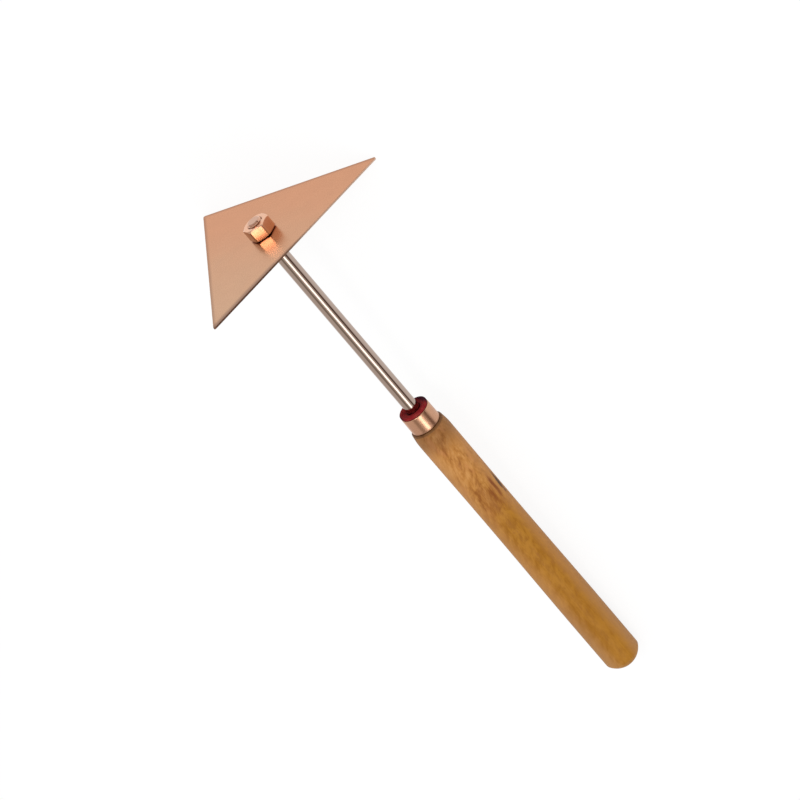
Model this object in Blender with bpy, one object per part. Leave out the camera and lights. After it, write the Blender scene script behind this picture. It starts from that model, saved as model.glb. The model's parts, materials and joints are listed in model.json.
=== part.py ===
"""Triangular scraper: a flat three-edged blade on a long round shank with a turned handle.

Two hex nuts clamp the blade on the threaded front end of the shank. The shank's tang sits in a
wooden handle, behind a short metal ferrule with a bush in its mouth. The tool lies as it rests
on a bench: one edge of the blade and the rim of the handle's butt touch the ground, and the
third corner of the blade points up.

Metres, +Z up. Each piece is modelled about the shank's axis, with +X towards the blade and
X = 0 on the blade's front face, and an empty then tilts and places the whole tool.
"""

from math import atan2, cos, pi, radians, sin, sqrt, tan

import bmesh
import bpy
from mathutils import Matrix

# Blade
BLADE_SIDE = 0.152
BLADE_THICKNESS = 0.0030
BLADE_LAND = 0.0012
BLADE_GRIND_WIDTH = 0.0050
BLADE_TIP_RADIUS = 0.0012
BLADE_BACK_TIP_RADIUS = 0.0006

# Hex nuts
NUT_ACROSS_FLATS = 0.0169
NUT_HEIGHT = 0.0094
NUT_FACE_DIAMETER = 0.0164
NUT_CHAMFER_ANGLE = radians(30)
NUT_COUNTERSINK = 0.0007
BLADE_NUT_TURN = radians(150)
BACK_NUT_TURN = radians(104)

# Shank
SHANK_DIAMETER = 0.0098
STUD_END_X = 0.0115
STUD_CHAMFER = 0.0010
TANG_LENGTH = 0.052
TANG_POINT_LENGTH = 0.009
TANG_POINT_DIAMETER = 0.0040

# Ferrule and the bush in its mouth
FERRULE_FRONT_X = -0.1640
FERRULE_LENGTH = 0.0130
FERRULE_FRONT_DIAMETER = 0.0213
FERRULE_REAR_DIAMETER = 0.0216
FERRULE_WALL = 0.0010
FERRULE_LIP_RADIUS = 0.0005
BUSH_PROUD = 0.0025
BUSH_LENGTH = 0.0080
BUSH_FLANGE_DIAMETER = 0.0210
BUSH_LIP_RADIUS = 0.0008
BUSH_RECESS_DEPTH = 0.0013
BUSH_RECESS_DIAMETER = 0.0160

# Handle
HANDLE_END_X = -0.4140
HANDLE_FRONT_DIAMETER = 0.0240
HANDLE_EDGE_RADIUS = 0.0009
SHOULDER_DIAMETER = 0.0257
SHOULDER_LENGTH = 0.0090
WAIST_DIAMETER = 0.0254
WAIST_X = -0.255
SWELL_DIAMETER = 0.0265
SWELL_X = -0.370
BUTT_DOME_RADIUS = 0.0146
BORE_END_CLEARANCE = 0.001

# Clearance between touching pieces
GAP = 0.0003

# Facets
ROUND_STEPS = 64
NUT_ROUND_STEPS = 48
TIP_STEPS = 6
ARC_STEPS = 5
SHOULDER_STEPS = 6
BARREL_STEPS = 16
DOME_STEPS = 10
CREASE_ANGLE = radians(32)
MERGE_DISTANCE = 1e-6

# Sizes that follow from the ones above
BLADE_INRADIUS = BLADE_SIDE / (2 * sqrt(3))
FERRULE_REAR_X = FERRULE_FRONT_X - FERRULE_LENGTH
HANDLE_FRONT_X = FERRULE_REAR_X - GAP
TANG_END_X = HANDLE_FRONT_X - TANG_LENGTH
BUSH_FRONT_X = FERRULE_FRONT_X + BUSH_PROUD
SPIGOT_RADIUS = FERRULE_FRONT_DIAMETER / 2 - FERRULE_WALL - GAP
BUTT_RADIUS = SWELL_DIAMETER / 2
SHOULDER_X = HANDLE_FRONT_X - HANDLE_EDGE_RADIUS - SHOULDER_LENGTH
DOME_CENTRE_X = HANDLE_END_X + BUTT_DOME_RADIUS
BUTT_RIM_X = DOME_CENTRE_X - sqrt(BUTT_DOME_RADIUS**2 - BUTT_RADIUS**2)
BORE_RADIUS = SHANK_DIAMETER / 2 + GAP


def remove_scene_objects():
    for thing in list(bpy.data.objects):
        bpy.data.objects.remove(thing, do_unlink=True)


def finish(name, colour, roughness, metallic):
    """A plain material for one kind of surface; colour is linear RGB."""
    material = bpy.data.materials.new(name)
    material.use_nodes = True
    shader = material.node_tree.nodes["Principled BSDF"]
    shader.inputs["Base Color"].default_value = (*colour, 1.0)
    shader.inputs["Roughness"].default_value = roughness
    shader.inputs["Metallic"].default_value = metallic
    return material


def place(name, bm, parent, material=None, x=0.0, turn=0.0):
    """Makes an object of a bmesh, x along the shank and turned about its axis."""
    bmesh.ops.recalc_face_normals(bm, faces=bm.faces)
    mesh = bpy.data.meshes.new(name)
    bm.to_mesh(mesh)
    bm.free()
    mesh.shade_smooth()
    mesh.set_sharp_from_angle(angle=CREASE_ANGLE)
    if material:
        mesh.materials.append(material)
    thing = bpy.data.objects.new(name, mesh)
    bpy.context.scene.collection.objects.link(thing)
    thing.parent = parent
    thing.location = (x, 0, 0)
    thing.rotation_euler = (turn, 0, 0)
    return thing


def arc(centre_x, centre_r, radius, start, end, steps=ARC_STEPS):
    """Points (x, r) along an arc; the angle is measured from +X towards +r."""
    points = []
    for i in range(steps + 1):
        angle = start + (end - start) * i / steps
        points.append((centre_x + radius * cos(angle), centre_r + radius * sin(angle)))
    return points


def turned(outline, steps=ROUND_STEPS):
    """Spins an outline of (x, r) points about the X axis.

    An outline that starts and ends on the axis makes a solid bar, any other is closed into a ring.
    """
    bm = bmesh.new()
    rim = [bm.verts.new((x, 0, r)) for x, r in outline]
    edges = [bm.edges.new(pair) for pair in zip(rim, rim[1:])]
    if outline[0][1] > 0:
        edges.append(bm.edges.new((rim[-1], rim[0])))
    bmesh.ops.spin(
        bm,
        geom=rim + edges,
        cent=(0, 0, 0),
        axis=(1, 0, 0),
        angle=2 * pi,
        steps=steps,
        use_merge=True,
    )
    bmesh.ops.remove_doubles(bm, verts=bm.verts, dist=MERGE_DISTANCE)
    return bm


def cut(thing, cutter, operation):
    cutter.hide_render = True
    cutter.display_type = "WIRE"
    modifier = thing.modifiers.new(cutter.name, "BOOLEAN")
    modifier.operation = operation
    modifier.solver = "EXACT"
    modifier.object = cutter


def triangle_loop(bm, x, inradius, tip_radius):
    """One closed loop of edges: an equilateral triangle with rounded tips, one tip up."""
    tip_distance = 2 * (inradius - tip_radius)
    verts = []
    for corner in range(3):
        direction = pi / 2 + corner * 2 * pi / 3
        centre_y = tip_distance * cos(direction)
        centre_z = tip_distance * sin(direction)
        for i in range(TIP_STEPS + 1):
            angle = direction + (i / TIP_STEPS - 0.5) * 2 * pi / 3
            y = centre_y + tip_radius * cos(angle)
            z = centre_z + tip_radius * sin(angle)
            verts.append(bm.verts.new((x, y, z)))
    return [bm.edges.new(pair) for pair in zip(verts, verts[1:] + verts[:1])]


def make_blade(parent, material):
    """Plate whose three edges keep a narrow land at the front and are ground away behind it."""
    bm = bmesh.new()
    front = triangle_loop(bm, 0, BLADE_INRADIUS, BLADE_TIP_RADIUS)
    land = triangle_loop(bm, -BLADE_LAND, BLADE_INRADIUS, BLADE_TIP_RADIUS)
    back_inradius = BLADE_INRADIUS - BLADE_GRIND_WIDTH
    back = triangle_loop(bm, -BLADE_THICKNESS, back_inradius, BLADE_BACK_TIP_RADIUS)
    bmesh.ops.contextual_create(bm, geom=front)
    bmesh.ops.bridge_loops(bm, edges=front + land)
    bmesh.ops.bridge_loops(bm, edges=land + back)
    bmesh.ops.contextual_create(bm, geom=back)
    blade = place("blade", bm, parent, material)
    front_x = BLADE_THICKNESS
    back_x = -2 * BLADE_THICKNESS
    hole = turned([(front_x, 0), (front_x, BORE_RADIUS), (back_x, BORE_RADIUS), (back_x, 0)])
    cut(blade, place("blade_hole", hole, parent), "DIFFERENCE")
    return blade


def make_nut(name, parent, material, x, turn):
    """Hex nut chamfered on both faces, with a countersunk hole; x is its rear face.

    A long hexagonal bar is cut by a turned ring that carries the chamfers and the hole.
    """
    corner_radius = NUT_ACROSS_FLATS / sqrt(3)
    bm = bmesh.new()
    bmesh.ops.create_cone(
        bm,
        cap_ends=True,
        segments=6,
        radius1=corner_radius,
        radius2=corner_radius,
        depth=2 * NUT_HEIGHT,
        matrix=Matrix.Translation((NUT_HEIGHT / 2, 0, 0)) @ Matrix.Rotation(pi / 2, 4, "Y"),
    )
    nut = place(name, bm, parent, material, x, turn)

    face_radius = NUT_FACE_DIAMETER / 2
    wide_radius = corner_radius + GAP
    chamfer = (wide_radius - face_radius) * tan(NUT_CHAMFER_ANGLE)
    sink = NUT_COUNTERSINK
    ring = turned(
        [
            (0, face_radius),
            (chamfer, wide_radius),
            (NUT_HEIGHT - chamfer, wide_radius),
            (NUT_HEIGHT, face_radius),
            (NUT_HEIGHT, BORE_RADIUS + sink),
            (NUT_HEIGHT - sink, BORE_RADIUS),
            (sink, BORE_RADIUS),
            (0, BORE_RADIUS + sink),
        ],
        NUT_ROUND_STEPS,
    )
    cut(nut, place(name + "_ring", ring, nut), "INTERSECT")
    return nut


def make_shank(parent, material):
    """Round rod: chamfered stud end in front, blunt tapered tang behind."""
    radius = SHANK_DIAMETER / 2
    outline = [
        (STUD_END_X, 0),
        (STUD_END_X, radius - STUD_CHAMFER),
        (STUD_END_X - STUD_CHAMFER, radius),
        (TANG_END_X + TANG_POINT_LENGTH, radius),
        (TANG_END_X, TANG_POINT_DIAMETER / 2),
        (TANG_END_X, 0),
    ]
    return place("shank", turned(outline), parent, material)


def make_ferrule(parent, material):
    """Short tube, a little wider behind, with its front lip rounded over."""
    front_radius = FERRULE_FRONT_DIAMETER / 2
    rear_radius = FERRULE_REAR_DIAMETER / 2
    inner_radius = front_radius - FERRULE_WALL
    lip = FERRULE_LIP_RADIUS
    outline = arc(FERRULE_FRONT_X - lip, inner_radius + lip, lip, -pi / 2, 0)
    outline += arc(FERRULE_FRONT_X - lip, front_radius - lip, lip, 0, pi / 2)
    outline.append((FERRULE_REAR_X, rear_radius))
    outline.append((FERRULE_REAR_X, inner_radius))
    outline.reverse()
    return place("ferrule", turned(outline), parent, material)


def make_bush(parent, material):
    """Flanged ring: body in the ferrule's mouth, flange over its lip, dished front."""
    flange_radius = BUSH_FLANGE_DIAMETER / 2
    flange_rear_x = FERRULE_FRONT_X + GAP
    rear_x = BUSH_FRONT_X - BUSH_LENGTH
    lip = BUSH_LIP_RADIUS
    outline = [
        (rear_x, BORE_RADIUS),
        (BUSH_FRONT_X - BUSH_RECESS_DEPTH, BORE_RADIUS),
        (BUSH_FRONT_X, BUSH_RECESS_DIAMETER / 2),
    ]
    outline += arc(BUSH_FRONT_X - lip, flange_radius - lip, lip, 0, pi / 2)
    outline.append((flange_rear_x, flange_radius))
    outline.append((flange_rear_x, SPIGOT_RADIUS))
    outline.append((rear_x, SPIGOT_RADIUS))
    return place("collar_bush", turned(outline), parent, material)


def ease(fraction):
    return (1 - cos(pi * fraction)) / 2


def barrel_radius(x):
    """Radius of the grip: from the shoulder down to a faint waist and up to the rear swell."""
    if x > WAIST_X:
        share = ease((SHOULDER_X - x) / (SHOULDER_X - WAIST_X))
        return (SHOULDER_DIAMETER + (WAIST_DIAMETER - SHOULDER_DIAMETER) * share) / 2
    share = ease(min(1.0, (WAIST_X - x) / (WAIST_X - SWELL_X)))
    return (WAIST_DIAMETER + (SWELL_DIAMETER - WAIST_DIAMETER) * share) / 2


def make_handle(parent, material):
    """Turned handle: spigot, rounded front edge, shoulder, waist, swell and domed butt."""
    spigot_x = BUSH_FRONT_X - BUSH_LENGTH - GAP
    front_radius = HANDLE_FRONT_DIAMETER / 2
    shoulder_rise = SHOULDER_DIAMETER / 2 - front_radius
    edge = HANDLE_EDGE_RADIUS
    bore_end_x = TANG_END_X - BORE_END_CLEARANCE
    outline = [(bore_end_x, 0), (bore_end_x, BORE_RADIUS), (spigot_x, BORE_RADIUS)]
    outline.append((spigot_x, SPIGOT_RADIUS))
    outline.append((HANDLE_FRONT_X, SPIGOT_RADIUS))
    outline += arc(HANDLE_FRONT_X - edge, front_radius - edge, edge, 0, pi / 2)
    for i in range(1, SHOULDER_STEPS + 1):
        share = i / SHOULDER_STEPS
        x = HANDLE_FRONT_X - edge - SHOULDER_LENGTH * share
        outline.append((x, front_radius + shoulder_rise * sin(share * pi / 2)))
    for i in range(1, BARREL_STEPS + 1):
        x = SHOULDER_X + (BUTT_RIM_X - SHOULDER_X) * i / BARREL_STEPS
        outline.append((x, barrel_radius(x)))
    rim_angle = atan2(BUTT_RADIUS, BUTT_RIM_X - DOME_CENTRE_X)
    outline += arc(DOME_CENTRE_X, 0, BUTT_DOME_RADIUS, rim_angle, pi, DOME_STEPS)[1:-1]
    outline.append((HANDLE_END_X, 0))
    return place("handle", turned(outline), parent, material)


def rest_on_ground(empty):
    """Tilts the tool until blade edge and butt rim are level, and centres it over the origin."""
    run = -BLADE_LAND - BUTT_RIM_X
    rise = BLADE_INRADIUS - BUTT_RADIUS
    tilt = atan2(rise, run)
    lowest = -BLADE_LAND * sin(tilt) - BLADE_INRADIUS * cos(tilt)
    stud_radius = SHANK_DIAMETER / 2 - STUD_CHAMFER
    front = STUD_END_X * cos(tilt) + stud_radius * sin(tilt)
    rear = DOME_CENTRE_X * cos(tilt) - BUTT_DOME_RADIUS
    empty.rotation_euler = (0, -tilt, 0)
    empty.location = (-(front + rear) / 2, 0, -lowest)


def add_empty(name):
    empty = bpy.data.objects.new(name, None)
    bpy.context.scene.collection.objects.link(empty)
    return empty


def main():
    remove_scene_objects()
    copper = finish("blade_bronze", (0.62, 0.34, 0.20), 0.32, 1.0)
    nut_bronze = finish("nut_bronze", (0.72, 0.43, 0.22), 0.22, 1.0)
    steel = finish("bright_steel", (0.60, 0.55, 0.50), 0.18, 1.0)
    ferrule_metal = finish("ferrule_copper", (0.72, 0.40, 0.24), 0.25, 1.0)
    red = finish("dark_red", (0.18, 0.014, 0.014), 0.40, 0.0)
    wood = finish("varnished_wood", (0.42, 0.18, 0.05), 0.35, 0.0)

    shank_axis = add_empty("shank_axis")
    rest_on_ground(shank_axis)

    make_blade(shank_axis, copper)
    make_nut("blade_nut", shank_axis, nut_bronze, GAP, BLADE_NUT_TURN)
    back_nut_x = -BLADE_THICKNESS - GAP - NUT_HEIGHT
    make_nut("back_nut", shank_axis, nut_bronze, back_nut_x, BACK_NUT_TURN)
    make_shank(shank_axis, steel)
    make_ferrule(shank_axis, ferrule_metal)
    make_bush(shank_axis, red)
    make_handle(shank_axis, wood)


if __name__ == "__main__":
    main()
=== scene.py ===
"""Triangular scraper: the finished pieces, their surfaces and the studio round them.

Every piece is modelled about the shank's axis, with +X towards the blade and X = 0 on the
blade's front face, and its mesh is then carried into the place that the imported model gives.
"""

import json
from math import asin, atan2, cos, pi, radians, sin, sqrt, tan

import bmesh
import bpy
from bpy.props import FloatProperty, FloatVectorProperty, PointerProperty
from bpy.types import Operator, Panel, PropertyGroup
from mathutils import Matrix, Vector


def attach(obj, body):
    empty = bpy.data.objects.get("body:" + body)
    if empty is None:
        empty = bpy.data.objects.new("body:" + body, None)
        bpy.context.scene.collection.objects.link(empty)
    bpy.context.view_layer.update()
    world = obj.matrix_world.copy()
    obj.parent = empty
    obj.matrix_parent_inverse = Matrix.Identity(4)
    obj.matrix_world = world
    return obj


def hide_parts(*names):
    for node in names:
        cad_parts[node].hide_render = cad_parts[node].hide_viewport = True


bl_info = {
    "name": "Triangular scraper",
    "version": (1, 0, 0),
    "blender": (4, 5, 0),
    "location": "View3D > Sidebar > Scraper",
    "description": "Builds a triangular scraper with a turned wooden handle, and a studio for it",
    "category": "Object",
}

# Merge distance, sharpest smooth edge, and cosine above which a face is square to a direction
MERGE = 1e-6
CREASE = radians(28)
SQUARE = 0.9999

# Gap between touching pieces, and the steps of a full turn on the turned pieces
GAP = 0.0003
TURN_STEPS = 128

# Dark red-brown painted shade where the nuts meet the blade
PAINTED_SEAT_SHADE = (0.22, 0.040, 0.012)

# Distances behind the blade's front face over which the handle's surface changes
PLAIN_FROM = (0.212, 0.276)
MARBLED_TO = (0.270, 0.360)
FLECKED_TO = (0.270, 0.420)
# The painted sheen along the handle's sides takes its rear tone over these distances
SIDE_SHEEN_REAR_TO = (0.30, 0.40)

# Marks in the wood: colour, strength, distance behind the blade's front face, the direction
# that they face (across, up), half length and half width
WOOD_MARKS = (
    ("streak", 0.28, 0.2440, -0.707, 0.707, 0.0140, 0.0085),
    ("streak", 0.50, 0.2452, -0.877, 0.481, 0.0090, 0.0015),
    ("streak", 0.75, 0.2398, -0.993, 0.117, 0.0110, 0.0018),
    ("char", 0.95, 0.2416, -0.936, -0.350, 0.0105, 0.0022),
)

# Camera's place, its right-hand side and the direction behind it
CAMERA_SPOT = (1.0789, -1.6353, 1.7548)
CAMERA_RIGHT = (-0.5543, -0.7429, -0.3753)
CAMERA_BACK = (0.3978, -0.6325, 0.6646)

# Soft boxes: azimuth and elevation in degrees, distance, width and height
KEY_BOX = (-31, 64, 1.4, 0.36, 0.36)
SIDE_BOX = (-132, 42, 1.4, 0.9, 0.43)

# What metal sees round it, as azimuth and elevation: a dark band and a dim patch overhead
DARK_BAND = (-117, 0)
DIM_PATCH = (177, 61)

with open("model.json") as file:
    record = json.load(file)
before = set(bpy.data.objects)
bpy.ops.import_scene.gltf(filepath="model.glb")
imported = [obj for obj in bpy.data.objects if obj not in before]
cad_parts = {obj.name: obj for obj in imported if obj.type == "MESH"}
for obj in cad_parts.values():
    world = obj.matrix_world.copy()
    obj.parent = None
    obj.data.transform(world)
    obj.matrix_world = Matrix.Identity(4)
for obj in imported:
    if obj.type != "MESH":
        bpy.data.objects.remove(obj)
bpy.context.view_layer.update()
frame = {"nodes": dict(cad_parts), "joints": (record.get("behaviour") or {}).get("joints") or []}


def joint(name):
    return next(row for row in frame["joints"] if row["name"] == name)


def tool_place():
    """Matrix from the shank's own axes to the ground: the blade turns about the shank's axis."""
    row = joint("blade_turn")
    tilt = asin(row["axis"][2])
    turned = Matrix.Rotation(-tilt, 4, "Y")
    spots = [turned.inverted() @ v.co for v in frame["nodes"]["blade"].data.vertices]
    front = max(spot.x for spot in spots)
    on_axis = turned.inverted() @ Vector(row["pos_m"])
    return Matrix.Translation(turned @ Vector((front, on_axis.y, on_axis.z))) @ turned, tilt


TOOL, TILT = tool_place()
TO_TOOL = TOOL.inverted()


def spots_of(node):
    """A CAD node's vertices along and about the shank's axis."""
    return [TO_TOOL @ vertex.co for vertex in frame["nodes"][node].data.vertices]


def reach(node):
    """Front x, rear x and greatest radius of a CAD node, along and about the shank's axis."""
    spots = spots_of(node)
    widest = max(sqrt(spot.y**2 + spot.z**2) for spot in spots)
    return max(spot.x for spot in spots), min(spot.x for spot in spots), widest


BLADE_FRONT, BLADE_REAR, _ = reach("blade")
BLADE_INRADIUS = -min(spot.z for spot in spots_of("blade"))
NUT_FRONT, NUT_REAR, NUT_REACH = reach("blade_nut")
_, BACK_NUT_REAR, _ = reach("back_nut")
STUD_END, TANG_END, ROD_RADIUS = reach("shank")
FERRULE_FRONT, FERRULE_REAR, FERRULE_RADIUS = reach("ferrule")
BUSH_FRONT, BUSH_REAR, BUSH_RADIUS = reach("collar_bush")
SPIGOT_FRONT, HANDLE_END, _ = reach("handle")


def paint(red, green, blue):
    """Linear colour from the three display values of a colour picker, 0 to 255."""
    shares = [value / 255 for value in (red, green, blue)]
    return tuple(s / 12.92 if s <= 0.04045 else ((s + 0.055) / 1.055) ** 2.4 for s in shares)


def length(name, description, default):
    return FloatProperty(
        name=name,
        description=description,
        default=default,
        min=0.0,
        precision=5,
        subtype="DISTANCE",
        unit="LENGTH",
    )


def colour(name, description, default):
    return FloatVectorProperty(
        name=name,
        description=description,
        default=default,
        size=3,
        min=0.0,
        max=1.0,
        subtype="COLOR",
    )


def share(name, description, default):
    return FloatProperty(
        name=name, description=description, default=default, min=0.0, max=1.0, subtype="FACTOR"
    )


class BladeLook(PropertyGroup):
    """Sizes and colours of the blade."""

    land: length("Land", "Square part of each edge, before the ground slope", 0.0012)
    grind: length("Grind width", "How far the rear face is ground back at each edge", 0.0050)
    tip: length("Tip radius", "Rounding of the three corners", 0.0012)
    arris: length("Arris", "Width of the broken sharp edges", 0.00012)
    warm: colour("Low tone", "Copper tone beside the lower edge", paint(210, 148, 108))
    pale: colour("High tone", "Copper tone towards the upper corner", paint(206, 163, 129))
    # Edge tone is painted shade along the edges and on the upper land
    edge: colour("Edge tone", "Dulled metal along the edges", paint(132, 98, 80))
    bare: colour("Bare metal", "Brighter metal on the worn land", (0.92, 0.70, 0.56))
    gloss: share("Roughness", "Roughness of the satin faces", 0.26)


class NutLook(PropertyGroup):
    """Sizes and colours of the hex nuts."""

    face: length("Face diameter", "Round flat left inside each chamfer", 0.0164)
    across: length("Across flats", "Distance between opposite flats", 0.0169)
    sink: length("Countersink", "Countersink of the threaded hole", 0.0007)
    metal: colour("Metal", "Copper bronze of the flats", paint(214, 169, 142))
    turned: colour("Turned faces", "Brighter metal of the turned ends", paint(236, 186, 156))
    bare: colour("Bare metal", "Brighter metal on the worn corners", (0.95, 0.74, 0.56))
    # The tint of this one flat is painted shade
    tarnish: colour("Tarnish", "Tint of the one dulled flat", (0.55, 0.50, 0.34))
    gloss: share("Roughness", "Roughness of the flats", 0.17)


class ShankLook(PropertyGroup):
    """Sizes and colours of the shank."""

    pitch: length("Thread pitch", "Distance from one thread crest to the next", 0.0015)
    depth: length("Thread depth", "Depth of the thread's groove", 0.00085)
    thread: length("Thread length", "Threaded length behind the blade's front face", 0.0165)
    chamfer: length("Stud chamfer", "Chamfer on the stud's end", 0.0010)
    point: length("Tang point", "Length of the taper at the tang's end", 0.009)
    metal: colour("Steel", "Warm bright steel", paint(198, 180, 168))
    end: colour("Stud end", "Copper-tinted end of the stud", paint(222, 178, 154))
    # Painted shade at the bottom of the thread's groove
    oil: colour("Oil", "Oil-darkened bottom of the thread's groove", (0.06, 0.035, 0.028))
    gloss: share("Roughness", "Roughness of the polished rod", 0.09)


class FerruleLook(PropertyGroup):
    """Sizes and colours of the ferrule."""

    wall: length("Wall", "Thickness of the tube", 0.0010)
    lip: length("Lip radius", "Rounding of the front lip", 0.0005)
    front: length("Front diameter", "Diameter at the front lip", 0.0213)
    metal: colour("Copper", "Polished copper", paint(224, 174, 142))
    # Darker tint at the rear edge, beside the wood
    heat: colour("Heat tint", "Darker tint at the rear edge", (0.22, 0.10, 0.05))
    gloss: share("Roughness", "Roughness of the polished tube", 0.26)


class BushLook(PropertyGroup):
    """Sizes and colours of the flanged bush in the ferrule's mouth."""

    proud: length("Proud", "How far the flange stands in front of the ferrule", 0.0025)
    lip: length("Lip radius", "Rounding of the flange's front edge", 0.0008)
    recess: length("Recess depth", "Depth of the dished front", 0.0013)
    mouth: length("Recess diameter", "Diameter of the dished front", 0.0160)
    body: length("Body diameter", "Diameter of the part inside the ferrule", 0.0187)
    bore: length("Bore diameter", "Hole for the shank", 0.0104)
    red: colour("Crimson", "Crimson of the flange", paint(134, 29, 34))
    # Deep red is painted shade in the recess, and also random darker patches
    dark: colour("Deep red", "Dirt-darkened red in the recess", paint(62, 4, 10))
    worn: colour("Worn red", "Paler red of the worn patches", (0.30, 0.050, 0.034))
    # Nearly black painted shade and dark reflection on the rim
    soot: colour("Soot", "Nearly black dirt low down and on one side", (0.018, 0.001, 0.010))
    gloss: share("Roughness", "Roughness of the bush", 0.6)


class HandleLook(PropertyGroup):
    """Sizes and colours of the turned handle."""

    front: length("Front diameter", "Diameter behind the ferrule", 0.0240)
    edge: length("Front edge radius", "Rounding of the front edge", 0.0009)
    shoulder: length("Shoulder diameter", "Diameter of the shoulder", 0.0257)
    shoulder_run: length("Shoulder length", "Length over which the shoulder rises", 0.0090)
    waist: length("Waist diameter", "Diameter of the waist", 0.0254)
    waist_back: length("Waist distance", "Waist's distance behind the blade", 0.255)
    swell: length("Swell diameter", "Diameter of the rear swell", 0.0265)
    swell_back: length("Swell distance", "Swell's distance behind the blade", 0.370)
    dome: length("Dome radius", "Radius of the butt's dome", 0.0146)
    light: colour("Light wood", "Palest tone of the figured front", paint(206, 147, 82))
    middle: colour("Middle wood", "Middle tone of the figured front", paint(187, 126, 58))
    deep: colour("Deep wood", "Darkest tone of the figured front", paint(152, 93, 34))
    ochre: colour("Ochre wood", "Paler tone of the plain rear", paint(176, 119, 32))
    brown: colour("Brown wood", "Darker tone of the plain rear", paint(156, 100, 12))
    # Pale sides and rear sides are a painted sheen along both sides of the handle as the camera
    # sees it
    sap: colour("Pale sides", "Pinker sapwood along both sides", paint(196, 140, 82))
    rear_sap: colour("Rear sides", "The same sapwood towards the butt", paint(184, 136, 90))
    blush: colour("Blush", "Pinker patches of the figured front", paint(210, 142, 88))
    streak: colour("Streak", "Red-brown marks in the figure", paint(120, 52, 14))
    char: colour("Char", "The darkest mark", (0.050, 0.018, 0.008))
    grime: colour("Grime", "Tint of the handled neck", (0.60, 0.58, 0.64))
    # A dark band in the wood along the ferrule
    rim: colour("Rim", "Dirt along the ferrule", (0.06, 0.024, 0.010))
    pores: colour("Pores", "Bottom of the pores", (0.16, 0.065, 0.02))
    gloss: share("Roughness", "Roughness of the varnish", 0.48)


class StudioLook(PropertyGroup):
    """Camera, lamps, floor and surroundings."""

    lens: FloatProperty(name="Lens", description="Focal length, mm", default=180.0, min=1.0)
    key: FloatProperty(name="Key", description="Brightness of the upper soft box", default=4.9)
    side: FloatProperty(name="Side", description="Brightness of the side soft box", default=1.75)
    dome: FloatProperty(name="Dome", description="Brightness of the sky light", default=0.80)
    floor: colour("Floor", "Colour of the floor", (0.86, 0.86, 0.86))
    lift: FloatProperty(name="Lift", description="Glow that keeps the floor white", default=0.88)
    sky: colour("Sky", "Surroundings that metal reflects", (0.62, 0.57, 0.54))
    # Dusk also paints the floor's shadow towards the camera, seen only in reflections
    dusk: colour("Dusk", "Darker band low in the surroundings", (0.11, 0.06, 0.04))
    dim: colour("Dim patch", "Dimmer patch high in the surroundings", (0.28, 0.24, 0.20))
    faint: colour("Shadow paper", "What of the floor takes the shadow", (0.14, 0.14, 0.14))
    # Grey floor is a painted shadow under the shank, seen only in reflections
    grey: colour("Grey floor", "Floor that metal reflects under the shank", (0.80, 0.77, 0.76))
    white: colour("White floor", "Floor that metal reflects at the blade", (1.0, 0.97, 0.95))


def swing(noise, amount):
    """A noise of 0 to 1 as a shift of up to half the amount, up or down."""
    return (noise - 0.5) * amount


class Wire:
    """An output socket that takes part in arithmetic by adding Math nodes."""

    def __init__(self, shade, socket):
        self.shade = shade
        self.socket = socket

    def __add__(self, other):
        return self.shade.maths("ADD", self, other)

    def __sub__(self, other):
        return self.shade.maths("SUBTRACT", self, other)

    def __rsub__(self, other):
        return self.shade.maths("SUBTRACT", other, self)

    def __mul__(self, other):
        return self.shade.maths("MULTIPLY", self, other)

    def __truediv__(self, other):
        return self.shade.maths("DIVIDE", self, other)

    def __rtruediv__(self, other):
        return self.shade.maths("DIVIDE", other, self)

    __radd__ = __add__
    __rmul__ = __mul__


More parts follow.
